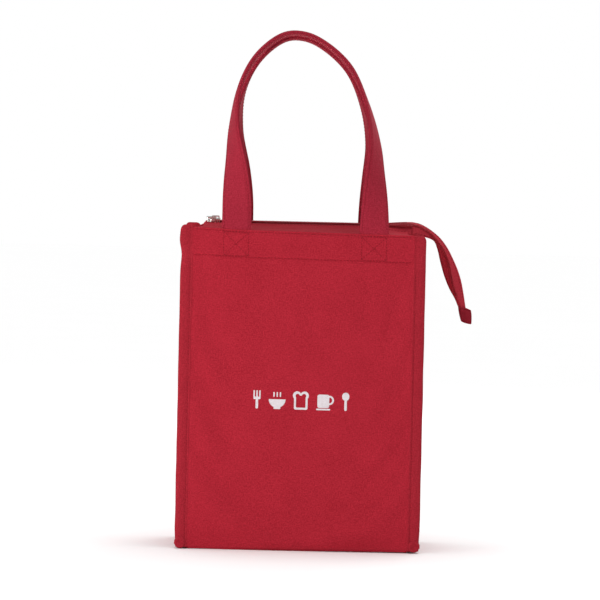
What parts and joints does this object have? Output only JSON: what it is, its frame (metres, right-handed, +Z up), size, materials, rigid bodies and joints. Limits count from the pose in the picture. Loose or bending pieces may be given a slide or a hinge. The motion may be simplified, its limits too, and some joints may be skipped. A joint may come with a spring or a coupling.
{
  "type": "lunch bag",
  "caption": "Insulated fabric lunch bag: upright red box shape with bound edges, zipped top, carrying straps, hanging zip tail and a plain mealtime print.",
  "frame": {"origin": "middle of the flat base, on the surface the bag stands on", "axes": "+Z up, -Y out of the printed front, +X to the viewer's right of the front, where the zip tail hangs"},
  "size_m": [0.2788, 0.1166, 0.4913],
  "materials": {
    "canvas": "woven canvas",
    "binding_tape": "ribbed tape",
    "strap_webbing": "folded canvas",
    "thread": "twisted thread",
    "foam": "closed-cell foam",
    "foil_lining": "foil laminate",
    "zip_tape": "woven tape",
    "zip_nylon": "moulded nylon",
    "nickel": "polished nickel",
    "white_print": "screen print"
  },
  "bodies": {
    "bag": {"front_panel": "canvas", "back_panel": "canvas", "left_gusset": "canvas", "right_gusset": "canvas", "base_panel": "canvas", "front_hem_band": "canvas", "back_hem_band": "canvas", "left_hem_band": "canvas", "right_hem_band": "canvas", "front_end_facing": "canvas", "back_end_facing": "canvas", "front_foam": "foam", "back_foam": "foam", "left_foam": "foam", "right_foam": "foam", "base_foam": "foam", "front_lining": "foil_lining", "back_lining": "foil_lining", "left_lining": "foil_lining", "right_lining": "foil_lining", "base_lining": "foil_lining", "front_left_binding": "binding_tape", "front_right_binding": "binding_tape", "back_left_binding": "binding_tape", "back_right_binding": "binding_tape", "left_base_binding": "binding_tape", "right_base_binding": "binding_tape", "front_strap_ends": "strap_webbing", "back_strap_ends": "strap_webbing", "zip_end_tape": "zip_tape", "zip_end_teeth": "zip_nylon", "front_hem_thread": "thread", "back_hem_thread": "thread", "left_hem_thread": "thread", "right_hem_thread": "thread", "front_crossed_square_thread": "thread", "back_crossed_square_thread": "thread", "front_print": "white_print"},
    "slider": {"slider_body": "nickel", "slider_crown": "nickel"},
    "puller": {"pull_tab": "nickel"},
    "front_flap": {"front_zip_facing": "canvas", "front_zip_tape": "zip_tape", "front_zip_teeth": "zip_nylon", "front_top_stop": "nickel"},
    "back_flap": {"back_zip_facing": "canvas", "back_zip_tape": "zip_tape", "back_zip_teeth": "zip_nylon", "back_top_stop": "nickel"},
    "front_handle": {"front_strap": "strap_webbing"},
    "back_handle": {"back_strap": "strap_webbing"},
    "zip_tail": {"zip_tail_tape": "zip_tape", "zip_tail_teeth": "zip_nylon", "zip_tail_tab": "canvas"}
  },
  "joints": [
    {"name": "slider_slide", "type": "slide", "parent": "bag", "child": "slider", "axis": [1, 0, 0], "range_m": [0, 0.1665], "deforming": ["front_zip_tape", "back_zip_tape", "front_zip_teeth", "back_zip_teeth"]},
    {"name": "pull_tab_swing", "type": "hinge", "parent": "slider", "child": "puller", "pos_m": [-0.0847, -0.00076, 0.31233], "axis": [0, 0.9848, 0.1736], "range_deg": [0, 170]},
    {"name": "front_flap_fold", "type": "hinge", "parent": "bag", "child": "front_flap", "pos_m": [0, -0.0503, 0.3003], "axis": [-1, 0, 0], "range_deg": [0, 96]},
    {"name": "back_flap_fold", "type": "hinge", "parent": "bag", "child": "back_flap", "pos_m": [0, 0.0503, 0.3003], "axis": [1, 0, 0], "range_deg": [0, 96]},
    {"name": "front_handle_swing", "type": "hinge", "parent": "bag", "child": "front_handle", "pos_m": [0, -0.0579, 0.3015], "axis": [1, 0, 0], "range_deg": [0, 175]},
    {"name": "back_handle_swing", "type": "hinge", "parent": "bag", "child": "back_handle", "pos_m": [0, 0.0579, 0.3015], "axis": [-1, 0, 0], "range_deg": [0, 175]},
    {"name": "zip_tail_lift", "type": "hinge", "parent": "bag", "child": "zip_tail", "pos_m": [0.1044, 0.0006, 0.3102], "axis": [0, -1, 0], "range_deg": [0, 60]}
  ],
  "couplings": [
    {"joint": "front_flap_fold", "follows": "slider_slide", "rad_per_m": 9.9583},
    {"joint": "back_flap_fold", "follows": "slider_slide", "rad_per_m": 9.9583}
  ]
}
